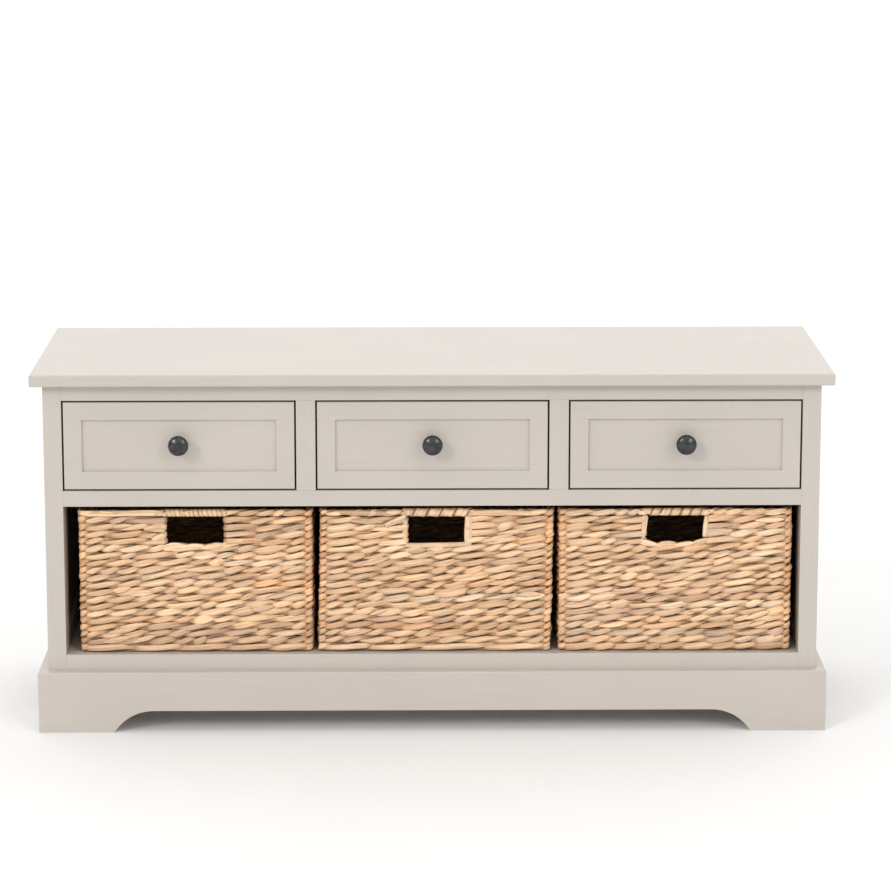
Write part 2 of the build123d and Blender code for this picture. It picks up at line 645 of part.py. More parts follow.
def carcass_pieces():
    """Every fixed piece by its node name."""
    left = {
        "front_post": front_post(),
        "back_post": back_post(),
        "side_top_rail": side_rail((SIDE_TOP_RAIL_Z, UNDER_TOP), (SIDE_TOP_RAIL_Z, SIDE_TOP_RAIL_Z + GROOVE)),
        "side_bottom_rail": side_rail(
            (FRAME_FOOT, SIDE_BOTTOM_RAIL_TOP), (SIDE_BOTTOM_RAIL_TOP - GROOVE, SIDE_BOTTOM_RAIL_TOP)
        ),
        "side_panel": side_panel(),
        "plinth": plinth_side(),
    }
    pieces = {f"left_{name}": shape for name, shape in left.items()}
    pieces |= {f"right_{name}": mirrored(shape) for name, shape in left.items()}
    end = seat_end()
    return pieces | {
        "seat_field_panel": seat_field(),
        "seat_front_rail": seat_rail(SEAT_FRONT_Y, SEAT_FRONT_Y + SEAT_FRONT_RAIL),
        "seat_back_rail": seat_rail(BACK_Y, BACK_Y - SEAT_BACK_RAIL),
        "seat_left_end": end,
        "seat_right_end": mirrored(end),
        "face_top_rail": face_top_rail(),
        "face_middle_rail": face_middle_rail(),
        "face_bottom_rail": face_bottom_rail(),
        "left_drawer_divider": divider(-DIVIDER_X),
        "right_drawer_divider": divider(DIVIDER_X),
        "back_top_rail": back_top_rail(),
        "back_panel": back_panel(),
        "drawer_deck": panel_on_ledge(DECK_TOP, DECK_THICK),
        "basket_shelf": panel_on_ledge(SHELF_TOP, SHELF_THICK),
        "deck_battens": battens(DECK_TOP - DECK_THICK, FACE_RAIL_HEIGHT - DECK_THICK, PANEL_IN_X),
        "shelf_battens": battens(SHELF_TOP - SHELF_THICK, FACE_RAIL_HEIGHT, INNER_X),
        "drawer_guides_and_stops": drawer_guides_and_stops(),
        "top_bearers": top_bearers(),
        "plinth_front": plinth_front(),
        "top_fixing_screws": top_fixing_screws(),
        "back_panel_screws": back_panel_screws(),
    }


def repeated(kind, pieces, count, pitch, shift):
    """Numbered copies of a drawer or basket from left to right, as node name to shape."""
    made = {}
    for number in range(count):
        x = shift + (number - (count - 1) / 2) * pitch
        for name, shape in pieces.items():
            made[f"{kind}_{number + 1}_{name}"] = Pos(x, 0, 0) * shape
    return made


def main():
    os.makedirs("parts", exist_ok=True)
    nodes = carcass_pieces()
    nodes |= repeated("drawer", drawer_pieces(), DRAWERS, DRAWER_PITCH, 0)
    nodes |= repeated("basket", basket_pieces(), BASKETS, BASKET_PITCH, BASKET_SHIFT)
    for name, shape in nodes.items():
        export_step(shape, f"parts/{name}.step")
    print(len(nodes), "nodes")


if __name__ == "__main__":
    main()
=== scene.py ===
import json
import math

import bpy
import numpy as np
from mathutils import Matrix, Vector


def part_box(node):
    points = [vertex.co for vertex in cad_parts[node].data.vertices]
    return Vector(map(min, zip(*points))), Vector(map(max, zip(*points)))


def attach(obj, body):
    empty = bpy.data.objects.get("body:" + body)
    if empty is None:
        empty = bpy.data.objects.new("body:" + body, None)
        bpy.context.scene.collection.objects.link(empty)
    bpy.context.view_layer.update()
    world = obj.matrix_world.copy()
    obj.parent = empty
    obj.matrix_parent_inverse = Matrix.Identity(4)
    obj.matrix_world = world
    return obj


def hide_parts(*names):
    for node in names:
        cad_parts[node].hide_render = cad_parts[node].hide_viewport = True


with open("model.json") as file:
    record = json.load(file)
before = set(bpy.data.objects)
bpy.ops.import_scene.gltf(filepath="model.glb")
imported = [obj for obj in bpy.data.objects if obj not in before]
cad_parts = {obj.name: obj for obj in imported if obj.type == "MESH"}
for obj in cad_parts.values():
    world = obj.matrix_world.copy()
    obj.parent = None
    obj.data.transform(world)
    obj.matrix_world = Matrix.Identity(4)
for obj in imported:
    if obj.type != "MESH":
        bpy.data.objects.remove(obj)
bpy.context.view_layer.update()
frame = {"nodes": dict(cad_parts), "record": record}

# An entryway storage bench: painted joinery, dark metal knobs and three woven leaf baskets.
# Everything is in metres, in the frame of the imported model: X along the bench, -Y to its front, Z up.
MM = 0.001
nodes = frame["nodes"]


# ---- Shader helpers ----

NOISE_LOW, NOISE_HIGH = 0.3, 0.7  # where most of a noise's values lie


def new_material(name):
    """A material, its node tree and its Principled BSDF."""
    material = bpy.data.materials.new(name)
    material.use_nodes = True
    tree = material.node_tree
    return material, tree, tree.nodes["Principled BSDF"]


def feed(tree, socket, value):
    """Links an output to a socket, or sets the socket to a constant."""
    if isinstance(value, bpy.types.NodeSocket):
        tree.links.new(value, socket)
    else:
        socket.default_value = value


def add(tree, kind, settings=None, inputs=None):
    """A new shader node with its settings and inputs filled in."""
    node = tree.nodes.new("ShaderNode" + kind)
    for name, value in (settings or {}).items():
        setattr(node, name, value)
    for name, value in (inputs or {}).items():
        feed(tree, node.inputs[name], value)
    return node


def maths(tree, operation, a, b=0.0):
    return add(tree, "Math", {"operation": operation}, {0: a, 1: b}).outputs[0]


def object_place(tree, scale):
    """Object coordinates, stretched by a scale for each axis."""
    place = add(tree, "TexCoord").outputs["Object"]
    return add(tree, "Mapping", inputs={"Vector": place, "Scale": scale}).outputs[0]


def noise(tree, vector, scale, detail=3.0, roughness=0.5):
    """Noise with about scale features per metre of its coordinates."""
    inputs = {"Vector": vector, "Scale": scale, "Detail": detail, "Roughness": roughness}
    return add(tree, "TexNoise", inputs=inputs).outputs[0]


def map_range(tree, value, source, target):
    """Maps one range of values to another and clamps it there."""
    inputs = {0: value, 1: source[0], 2: source[1], 3: target[0], 4: target[1]}
    return add(tree, "MapRange", inputs=inputs).outputs[0]


def spread(tree, value, low, high):
    """Maps the useful range of a noise to low..high."""
    return map_range(tree, value, (NOISE_LOW, NOISE_HIGH), (low, high))


def ramp(tree, value, stops):
    """Colour ramp through (position, (r, g, b)) stops."""
    node = add(tree, "ValToRGB", inputs={0: value})
    elements = node.color_ramp.elements
    while len(elements) < len(stops):
        elements.new(0.5)
    for element, (position, colour) in zip(elements, stops):
        element.position = position
        element.color = (*colour, 1.0)
    return node.outputs[0]


def blotch(tree, value, colours):
    """Goes from the first colour to the second over the useful range of a noise."""
    return ramp(tree, value, list(zip((NOISE_LOW, NOISE_HIGH), colours)))


def multiply(tree, amount, colour, by):
    """A colour multiplied by another one, by an amount between 0 and 1."""
    settings = {"data_type": "RGBA", "blend_type": "MULTIPLY"}
    return add(tree, "Mix", settings, {0: amount, 6: colour, 7: by}).outputs[2]


def shade(tree, colour, factor):
    """A colour multiplied by a grey factor."""
    grey = add(tree, "CombineColor", inputs={0: factor, 1: factor, 2: factor}).outputs[0]
    return multiply(tree, 1.0, colour, grey)


def bump(tree, height, distance, normal=None):
    """Bump of a given height in metres."""
    inputs = {"Height": height, "Distance": distance, "Strength": 1.0}
    if normal is not None:
        inputs["Normal"] = normal
    return add(tree, "Bump", inputs=inputs).outputs[0]


# ---- Materials of the joinery ----

AXES = {"X": 0, "Y": 1, "Z": 2}
EVENLY = (1, 1, 1)

# Colours, darker then lighter
PAINT = ((0.514, 0.468, 0.422), (0.524, 0.478, 0.429))
PEWTER = ((0.050, 0.052, 0.055), (0.088, 0.089, 0.091))
STEEL = ((0.36, 0.36, 0.35), (0.58, 0.57, 0.55))
WIRE = ((0.045, 0.026, 0.016), (0.085, 0.052, 0.032))

# Colours of a growth ring, and of plywood's figure
WOOD_LIGHT, WOOD_MID, WOOD_DARK = (0.66, 0.48, 0.29), (0.60, 0.41, 0.23), (0.44, 0.27, 0.13)
PLY_DARK, PLY_LIGHT, PLY_MID = (0.56, 0.41, 0.25), (0.68, 0.53, 0.35), (0.62, 0.46, 0.29)
RINGS = 9.0


def along(axis, long_scale, cross_scale):
    """Scales for coordinates that stretch a pattern out along one axis."""
    scale = [cross_scale] * 3
    scale[AXES[axis]] = long_scale
    return scale


def paint(axis):
    """Satin paint, brushed along an axis over close-grained wood."""
    material, tree, bsdf = new_material(f"satin_paint_along_{axis.lower()}")
    strokes = noise(tree, object_place(tree, along(axis, 0.02, 1.0)), 900.0, 2.0)
    grain = noise(tree, object_place(tree, along(axis, 0.045, 1.0)), 260.0, 4.0, 0.6)
    cloud = noise(tree, object_place(tree, EVENLY), 7.0, 2.0)
    stipple = noise(tree, object_place(tree, EVENLY), 1800.0, 1.0)
    tone = maths(tree, "MULTIPLY", spread(tree, grain, 0.975, 1.012), spread(tree, cloud, 0.985, 1.01))
    feed(tree, bsdf.inputs["Base Color"], shade(tree, blotch(tree, cloud, PAINT), tone))
    feed(tree, bsdf.inputs["Roughness"], spread(tree, strokes, 0.36, 0.50))
    height = maths(tree, "ADD", grain, maths(tree, "MULTIPLY", strokes, 0.5))
    feed(tree, bsdf.inputs["Normal"], bump(tree, stipple, 0.02 * MM, bump(tree, height, 0.16 * MM)))
    bsdf.inputs["IOR"].default_value = 1.5
    bsdf.inputs["Coat Weight"].default_value = 0.35
    bsdf.inputs["Coat Roughness"].default_value = 0.3
    return material


def bare_wood(axis):
    """Planed light wood with growth rings cut lengthwise along an axis."""
    material, tree, bsdf = new_material(f"bare_wood_along_{axis.lower()}")
    place = object_place(tree, along(axis, 0.06, 1.0))
    warp = noise(tree, place, 18.0, 2.0)
    inputs = {"Vector": place, "Scale": 26.0, "Detail": 1.5, "Distortion": 1.4}
    rings = add(tree, "TexNoise", inputs=inputs).outputs[0]
    bands = maths(tree, "FRACT", maths(tree, "MULTIPLY", maths(tree, "ADD", rings, warp), RINGS))
    pores = noise(tree, object_place(tree, along(axis, 0.02, 1.0)), 1500.0, 2.0)
    stops = [(0.0, WOOD_LIGHT), (0.55, WOOD_MID), (0.85, WOOD_DARK), (1.0, WOOD_LIGHT)]
    colour = ramp(tree, bands, stops)
    feed(tree, bsdf.inputs["Base Color"], shade(tree, colour, spread(tree, pores, 0.90, 1.05)))
    feed(tree, bsdf.inputs["Roughness"], spread(tree, pores, 0.55, 0.75))
    feed(tree, bsdf.inputs["Normal"], bump(tree, pores, 0.08 * MM))
    return material


def plywood():
    """Sanded light plywood."""
    material, tree, bsdf = new_material("plywood")
    figure = noise(tree, object_place(tree, along("X", 0.1, 1.0)), 40.0, 4.0, 0.6)
    fleck = noise(tree, object_place(tree, along("X", 0.04, 1.0)), 900.0, 2.0)
    colour = ramp(tree, figure, [(NOISE_LOW, PLY_DARK), (0.55, PLY_LIGHT), (NOISE_HIGH, PLY_MID)])
    feed(tree, bsdf.inputs["Base Color"], shade(tree, colour, spread(tree, fleck, 0.92, 1.04)))
    feed(tree, bsdf.inputs["Roughness"], spread(tree, fleck, 0.60, 0.78))
    feed(tree, bsdf.inputs["Normal"], bump(tree, fleck, 0.05 * MM))
    return material


def dark_pewter():
    """Cast metal with a dark, cloudy satin patina."""
    material, tree, bsdf = new_material("dark_pewter")
    cast = noise(tree, object_place(tree, EVENLY), 420.0, 4.0, 0.6)
    cloud = noise(tree, object_place(tree, EVENLY), 110.0, 2.0)
    feed(tree, bsdf.inputs["Base Color"], blotch(tree, cloud, PEWTER))
    bsdf.inputs["Metallic"].default_value = 1.0
    feed(tree, bsdf.inputs["Roughness"], spread(tree, cast, 0.20, 0.32))
    feed(tree, bsdf.inputs["Normal"], bump(tree, cast, 0.06 * MM))
    return material


def plated_steel():
    """Zinc plating on a screw."""
    material, tree, bsdf = new_material("plated_steel")
    spangle = noise(tree, object_place(tree, EVENLY), 900.0, 3.0)
    feed(tree, bsdf.inputs["Base Color"], blotch(tree, spangle, STEEL))
    bsdf.inputs["Metallic"].default_value = 1.0
    feed(tree, bsdf.inputs["Roughness"], spread(tree, spangle, 0.28, 0.45))
    feed(tree, bsdf.inputs["Normal"], bump(tree, spangle, 0.03 * MM))
    return material


def coated_wire():
    """Brown coating on the wire frame of a basket."""
    material, tree, bsdf = new_material("coated_wire")
    drips = noise(tree, object_place(tree, EVENLY), 300.0, 3.0)
    feed(tree, bsdf.inputs["Base Color"], blotch(tree, drips, WIRE))
    feed(tree, bsdf.inputs["Roughness"], spread(tree, drips, 0.40, 0.60))
    feed(tree, bsdf.inputs["Normal"], bump(tree, drips, 0.1 * MM))
    return material


def longest_axis(node):
    low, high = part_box(node)
    size = high - low
    return max(AXES, key=lambda axis: size[AXES[axis]])


EDGE_ROUND = 0.4 * MM  # boards' edges are rubbed down, and leave a fine groove at each joint
SHARP_ANGLE = math.radians(50)  # an edge that turns by more is rounded
WELD_DISTANCE = 0.002 * MM


def round_edges(piece, width):
    """Rounds the sharp edges of a board. Its own mesh stays as it is: both steps are modifiers."""
    weld = piece.modifiers.new("weld", "WELD")
    weld.merge_threshold = WELD_DISTANCE
    bevel = piece.modifiers.new("rounded_edges", "BEVEL")
    bevel.width = width
    bevel.segments = 2
    bevel.limit_method = "ANGLE"
    bevel.angle_limit = SHARP_ANGLE
    bevel.use_clamp_overlap = True


def finish_joinery():
    """Gives every carried-over CAD node its material, with the grain along its longest side."""
    paints = {axis: paint(axis) for axis in AXES}
    woods = {axis: bare_wood(axis) for axis in AXES}
    others = {
        "plywood": plywood(),
        "dark_metal": dark_pewter(),
        "screw_steel": plated_steel(),
        "wire": coated_wire(),
    }
    slots = {part["node"]: part["material_slot"] for part in frame["record"]["subparts"]}
    for name, piece in nodes.items():
        slot = slots[name]
        if slot == "weave":
            continue
        kinds = {"paint": paints, "bare_wood": woods}.get(slot)
        material = kinds[longest_axis(name)] if kinds else others[slot]
        piece.data.materials.clear()
        piece.data.materials.append(material)
        if kinds and name != "back_panel":  # its many screw holes take no bevel
            round_edges(piece, EDGE_ROUND)


# ---- Woven baskets ----
# Every row of a basket's wall is a rope of two flattened leaf strands that twist round each other. Seen from
# outside, each half turn of a strand is a slanted lens shape, and between two of them it crosses to the
# inside. A pair of numbers in brackets is a range that a value is drawn from at random.

BASKET_WIDTH, BASKET_DEPTH = 296 * MM, 300 * MM
WALL = 9.0 * MM
CORNER_RADIUS = 10.0 * MM
ROWS = 18
HOLE_ROWS = 4  # rows cut by the hand hole, counted down from the rim
HOLE_HALF = 35.5 * MM
RIM = 8.3 * MM
BOTTOM_BAND = 12.0 * MM
TURNED_END = 4.2 * MM  # how far the turn at a cut row's end reaches past the end of its two strands
LOOP_POINTS = 12001  # worked out once round a loop, for others to be read from
UP = np.array([0.0, 0.0, 1.0])

# Mesh of a strand
SECTION = 10  # points round it
SAMPLES = 8  # rings along each half turn
TURN_RINGS = 6  # rings round the end of a cut row
RIDGES, RIDGE_HEIGHT = 3, 0.11  # the height is a share of the strand's
RIDGE_SHIFT = 40 * MM  # the least length in which the ridges shift by a radian
CREASE = (0.15, 0.50)  # depth of its crease
CREASE_WIDTH, CREASE_SWAY = 0.25, 0.5  # shares of the half width
CREASE_WAVE = 25 * MM
SQUARENESS = 0.85  # below 1 the section is boxier than an ellipse
EDGE_SHARPNESS = 12  # how narrowly the painted shade keeps to its edges
PHASE = (0, 6)  # radians, where a wave along it starts
FIBRE_START = (0, 9)  # metres into the pattern of the fibres, so that no two strands look the same

# Half turns
LENS = 31.0 * MM  # mean length
CORNER_LENS = LENS / 3  # shorter ones lie round a corner
LENS_SPREAD = (0.55, 1.45)
ROW_SPREAD = (0.92, 1.08)  # of a row's mean lens
SKEW = (-0.3, 0.3)  # shift of a lens's widest place
TILT = (-0.25, 0.35)  # how far a lens faces upward, as a slope
WIDTH_SPREAD = (0.84, 1.12)
THICKNESS_SPREAD = (0.80, 1.20)
REACH_SPREAD = (0.80, 1.15)
WIDE_LEAF, WIDE_LEAF_OUT = 1.3, 0.5 * MM  # how much wider a wide leaf is, and how much further out
NECK_THICKNESS = 1.25  # a strand is thicker where it narrows
NECK_FADE = 0.6  # below 1 the painted shade of a neck stays close to it

# Rows
DRIFT = 1.2 * MM  # how far the rows rise and fall
DRIFT_FOOT, DRIFT_RIM = 105 * MM, 278 * MM  # heights where the rows are level
WAVES, WAVE_CLIMB = 3, 50 * MM  # waves round the basket, and the height that shifts them by a radian
RIPPLES, RIPPLE_CLIMB, RIPPLE_SHARE = 8, 30 * MM, 0.6
ROW_TONES = (0.93, 1.07)
LOW_ROWS, LOW_TONE = 2, 0.9  # the lowest rows are a little darker
BASE_PITCH = 9.2 * MM
BASE_TONES = (0.85, 1.0)

# Colours of dried leaf, and the share of each
LEAF_COLOURS = np.array(
    [
        (0.76, 0.480, 0.275),
        (0.82, 0.565, 0.350),
        (0.86, 0.670, 0.480),
        (0.72, 0.465, 0.305),
        (0.75, 0.425, 0.205),
        (0.66, 0.450, 0.300),
        (0.52, 0.300, 0.170),
    ]
)
LEAF_MEAN = np.array((0.82, 0.54, 0.325))
LEAF_SHARES = (0.37, 0.30, 0.06, 0.10, 0.07, 0.05, 0.05)
PALE_LEAF = 1  # its number in the list
MEAN_SHARE = 0.2  # how far each pick is drawn to the mean
LEAF_LASTS = (2, 8)  # half turns, up to one less than the second
LEAF_TONES = (0.86, 1.24)
SHARED_TINT = 0.6  # how much the two strands of a rope have in common
NECK_SHADE = np.array((0.90, 0.82, 0.74))  # painted shade: strands are darker where they cross
# Painted shade in the crevices between rows, on the edges of each strand
EDGE_SHADE = np.array((0.10, 0.06, 0.035))
# Painted shade on the short half turns round a corner, where the wall curves away from the light
CORNER_SHADE = np.array((0.98, 0.90, 0.82))
# Painted shade on the halves of strands that lie on the inside of the wall
INSIDE_SHADE = 0.66


class Loop:
    """A rounded rectangle seen from above, walked anticlockwise from the middle of its back."""

    def __init__(self, x, y, inset):
        width, depth, bend = BASKET_WIDTH - 2 * inset, BASKET_DEPTH - 2 * inset, CORNER_RADIUS - inset
        arc = math.pi * bend / 2
        side_x, side_y = width - 2 * bend, depth - 2 * bend
        stretches = [side_x / 2, arc, side_y, arc, side_x, arc, side_y, arc, side_x / 2]
        turns = [0, 1, 0, 1, 0, 1, 0, 1, 0]
        self.ends = np.concatenate([[0], np.cumsum(stretches)])
        self.headings = math.pi + math.pi / 2 * np.concatenate([[0], np.cumsum(turns)])
        self.total = self.ends[-1]
        self.front_middle = (self.ends[4] + self.ends[5]) / 2
        self.fine = np.linspace(0, self.total, LOOP_POINTS)
        step = self.fine[1]
        heading = np.interp((self.fine[1:] + self.fine[:-1]) / 2, self.ends, self.headings)
        self.x = x + np.concatenate([[0], np.cumsum(np.cos(heading) * step)])
        self.y = y + depth / 2 + np.concatenate([[0], np.cumsum(np.sin(heading) * step)])

    def place(self, s, z):
        """Points at distances s and heights z, and the outward direction at each."""
        s = np.mod(s, self.total)
        heading = np.interp(s, self.ends, self.headings)
        points = np.stack([np.interp(s, self.fine, self.x), np.interp(s, self.fine, self.y), s * 0 + z], 1)
        return points, np.stack([np.sin(heading), -np.cos(heading), s * 0], 1)

    def faces(self):
        """Start and end of each straight face, once round from the left one."""
        ends = self.ends
        return [(ends[2], ends[3]), (ends[4], ends[5]), (ends[6], ends[7]), (ends[8], ends[1] + self.total)]


class Strands:
    """Flattened tubes gathered into one mesh, with a tint, darkened by painted shade towards the edges, and
    the run of the fibres at every point.
    """

    def __init__(self, rng):
        self.rng = rng
        self.points, self.faces, self.tints, self.fibres = [], [], [], []
        self.count = 0

    def add(self, path, facing, half_width, half_thick, tint, closed=True):
        """A tube along path, thin in the direction it faces."""
        rng = self.rng
        before, after = np.roll(path, 1, 0), np.roll(path, -1, 0)
        if not closed:
            before[0], after[-1] = path[0], path[-1]
        ahead = unit(after - before)
        across = unit(np.cross(facing, ahead))
        facing = np.cross(ahead, across)
        along = np.cumsum(np.linalg.norm(path - before, axis=1))[:, None]
        turns = np.arange(SECTION) * 2 * math.pi / SECTION
        wander = along / RIDGE_SHIFT * rng.uniform(-1, 1)
        ridge = 1 + RIDGE_HEIGHT * np.cos(RIDGES * turns + wander + rng.uniform(*PHASE))
        crease_at = CREASE_SWAY * np.sin(along / CREASE_WAVE + rng.uniform(*PHASE))
        crease = 1 - rng.uniform(*CREASE) * np.exp(-(((np.cos(turns) - crease_at) / CREASE_WIDTH) ** 2))
        wide = np.cos(turns) * ridge * half_width[:, None]
        flat = np.sign(np.sin(turns)) * np.abs(np.sin(turns)) ** SQUARENESS
        deep = flat * ridge * crease * half_thick[:, None]
        points = path[:, None] + across[:, None] * wide[..., None] + facing[:, None] * deep[..., None]
        rings = len(path)
        index = self.count + np.arange(rings * SECTION).reshape(rings, SECTION)
        here, there = (index, np.roll(index, -1, 0)) if closed else (index[:-1], index[1:])
        quads = np.stack([here, np.roll(here, -1, 1), np.roll(there, -1, 1), there], -1)
        self.faces.extend(quads.reshape(-1, 4).tolist())
        if not closed:
            self.faces.extend([index[0][::-1].tolist(), index[-1].tolist()])
        # Painted shade: each strand darkens towards its edges, where the rows meet
        edge = np.abs(np.cos(turns))[:, None] ** EDGE_SHARPNESS
        tints = np.ones((rings, SECTION, 4))
        tints[..., :3] = tint[:, None] * (1 - edge * (1 - EDGE_SHADE))
        fibres = np.stack([along + 0 * wide + rng.uniform(*FIBRE_START), wide, deep], -1)
        self.points.append(points.reshape(-1, 3))
        self.tints.append(tints.reshape(-1))
        self.fibres.append(fibres.reshape(-1))
        self.count += rings * SECTION

    def build(self, name, body, material, lean):
        """Makes the mesh. lean is how far the basket's top stands to the right of its foot."""
        points = np.concatenate(self.points)
        low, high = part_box(body + "_weave")
        points[:, 0] += lean * ((points[:, 2] - low[2]) / (high[2] - low[2]) - 0.5)
        points[:, 2] = np.maximum(points[:, 2], low[2])  # flat where the basket stands
        mesh = bpy.data.meshes.new(name)
        mesh.from_pydata(points.tolist(), [], self.faces)
        tint = mesh.attributes.new("tint", "FLOAT_COLOR", "POINT")
        tint.data.foreach_set("color", np.concatenate(self.tints))
        fibre = mesh.attributes.new("fibre", "FLOAT_VECTOR", "POINT")
        fibre.data.foreach_set("vector", np.concatenate(self.fibres))
        mesh.polygons.foreach_set("use_smooth", np.ones(len(mesh.polygons), bool))
        mesh.materials.append(material)
        piece = bpy.data.objects.new(name, mesh)
        bpy.context.scene.collection.objects.link(piece)
        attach(piece, body)
        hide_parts(body + "_weave")


def unit(vectors):
    return vectors / np.linalg.norm(vectors, axis=-1, keepdims=True)


def crossings(rng, stretches, lens):
    """Distances where the strands of a rope cross: both ends of each stretch, and uneven steps in it."""
    marks = []
    for start, end in stretches:
        count = max(1, round((end - start) / lens * rng.uniform(*ROW_SPREAD)))
        shares = np.cumsum(rng.uniform(*LENS_SPREAD, count))
        marks.extend([start, *(start + (end - start) * shares / shares[-1])])
    return marks


def whole_row(rng, loop, lens):
    """Crossings and twist of a row that closes on itself, so it has an even number of half turns."""
    marks = crossings(rng, loop.faces(), lens)
    while len(marks) % 2:
        marks = crossings(rng, loop.faces(), lens)
    marks.append(marks[0] + loop.total)
    return np.array(marks), math.pi * (np.arange(len(marks)) + 0.5)


def cut_row(rng, loop, lens, left, right):
    """Crossings and twist of a row that runs from the right side of the hand hole round to its left side."""
    left_face, front, right_face, back = loop.faces()
    stretches = [(right, front[1]), right_face, back]
    stretches += [(left_face[0] + loop.total, left_face[1] + loop.total)]
    stretches += [(front[0] + loop.total, left + loop.total)]
    marks = np.array(crossings(rng, stretches, lens))
    twist = math.pi * (np.arange(len(marks)) - 0.5)
    twist[0], twist[-1] = 0, math.pi * (len(marks) - 2)
    return marks, twist


def leaf_tints(rng, count, tone):
    """A colour for each half turn of a strand. Each leaf lasts for a few of them."""
    leaves = rng.choice(len(LEAF_COLOURS), count, p=LEAF_SHARES)
    picks = LEAF_COLOURS[np.repeat(leaves, rng.integers(*LEAF_LASTS, count))[:count]]
    picks = picks * (1 - MEAN_SHARE) + LEAF_MEAN * MEAN_SHARE
    return picks * tone * rng.uniform(*LEAF_TONES, (count, 1))


def twisted_pair(rng, marks, twist, form, tone, closed):
    """Both strands of a rope, ring by ring: distance along it, and for each strand its offsets outward and
    upward, its tilt, half width, half thickness and tint. The strands cross at the marks."""
    lenses = len(marks) - 1
    rings = np.round(np.diff(twist) / math.pi * SAMPLES).astype(int)
    lens = np.repeat(np.arange(lenses), rings)
    part = np.concatenate([np.arange(n) / n for n in rings])
    if not closed:
        lens, part = np.append(lens, lenses - 1), np.append(part, 1.0)
    angle = twist[lens] + np.diff(twist)[lens] * part
    skew = rng.uniform(*SKEW, lenses)[lens]
    s = marks[lens] + np.diff(marks)[lens] * (part + skew * part * (1 - part))
    swell = np.abs(np.cos(angle))
    shared = leaf_tints(rng, lenses, tone)
    strands = []
    for side in (1, -1):
        wide_leaf = rng.random(lenses) < form["wide_share"]
        half_width = form["half_width"] * rng.uniform(*WIDTH_SPREAD, lenses)
        half_width *= np.where(wide_leaf, WIDE_LEAF, 1.0)
        half_thick = form["half_thick"] * rng.uniform(*THICKNESS_SPREAD, lenses)
        reach = form["reach"] * rng.uniform(*REACH_SPREAD, lenses) + np.where(wide_leaf, WIDE_LEAF_OUT, 0)
        shift = form["jitter"] * rng.uniform(-1, 1, lenses)
        neck = rng.uniform(*form["neck"], lenses)[lens]
        tilt = rng.uniform(*TILT, lenses)[lens] * swell
        tint = shared * SHARED_TINT + leaf_tints(rng, lenses, tone) * (1 - SHARED_TINT)
        # Painted shade round the corners
        tint[np.diff(marks) < CORNER_LENS] *= CORNER_SHADE
        # Painted shade where the strands cross
        tint = tint[lens] * (NECK_SHADE + (1 - NECK_SHADE) * swell[:, None] ** NECK_FADE)
        # Painted shade on the inside of the wall
        tint[side * np.cos(angle) < 0] *= INSIDE_SHADE
        strands.append(
            (
                side * np.cos(angle) * reach[lens],
                side * np.sin(angle) * form["slant"] + shift[lens] * swell,
                tilt,
                half_width[lens] * (neck + (1 - neck) * swell),
                half_thick[lens] * (NECK_THICKNESS + (1 - NECK_THICKNESS) * swell),
                tint,
            )
        )
    return s, strands


def half_turn(start, end, ahead, facing, like):
    """A strand's way round the end of a cut row, from one strand's last point to the other's."""
    middle, radius = (start + end) / 2, (start - end) / 2
    angles = np.linspace(0, math.pi, TURN_RINGS + 2)[1:-1, None]
    path = middle + radius * np.cos(angles) + ahead * np.linalg.norm(radius) * np.sin(angles)
    turned = facing * np.cos(angles) + ahead * np.sign(facing @ radius) * np.sin(angles)
    half_width, half_thick, tint = [np.repeat(value[None], TURN_RINGS, 0) for value in like]
    return path, turned, half_width, half_thick, tint


def turned_back(first, second, centre):
    """Joins the two strands of a cut row into one closed tube that turns back at both ends."""
    flipped = [values[::-1] for values in second]
    flipped[1] = -flipped[1]
    last, start = unit(centre[-1] - centre[-2]), unit(centre[0] - centre[1])
    far = half_turn(first[0][-1], second[0][-1], last, first[1][-1], [values[-1] for values in first[2:]])
    near = half_turn(second[0][0], first[0][0], start, -second[1][0], [values[0] for values in second[2:]])
    return [np.concatenate(values) for values in zip(first, far, flipped, near)]


def drift(loop, s, z, phases):
    """Slow rise and fall of the rows round the basket, shared by neighbouring rows."""
    fade = np.sin(math.pi * np.clip((z - DRIFT_FOOT) / (DRIFT_RIM - DRIFT_FOOT), 0, 1)) ** 0.5
    turn = 2 * math.pi * s / loop.total
    wave = np.sin(WAVES * turn + z / WAVE_CLIMB + phases[0])
    ripple = RIPPLE_SHARE * np.sin(RIPPLES * turn - z / RIPPLE_CLIMB + phases[1])
    return (wave + ripple) * fade * DRIFT


def lay_row(strands, loop, z, form, tone, phases, hole=None):
    """One rope round the basket at height z. hole is where a cut row stops, left and right of the front's
    middle."""
    rng = strands.rng
    if hole is None:
        marks, twist = whole_row(rng, loop, form["lens"])
    else:
        left, right = loop.front_middle + np.array(hole)
        marks, twist = cut_row(rng, loop, form["lens"], left, right)
    s, offsets = twisted_pair(rng, marks, twist, form, tone, hole is None)
    centre, outward = loop.place(s, z + drift(loop, s, z, phases))
    pair = []
    for out, up, tilt, half_width, half_thick, tint in offsets:
        path = centre + outward * out[:, None] + UP * up[:, None]
        pair.append((path, outward + UP * tilt[:, None], half_width, half_thick, tint))
    if hole is None:
        for strand in pair:
            strands.add(*strand)
    else:
        strands.add(*turned_back(*pair, centre))


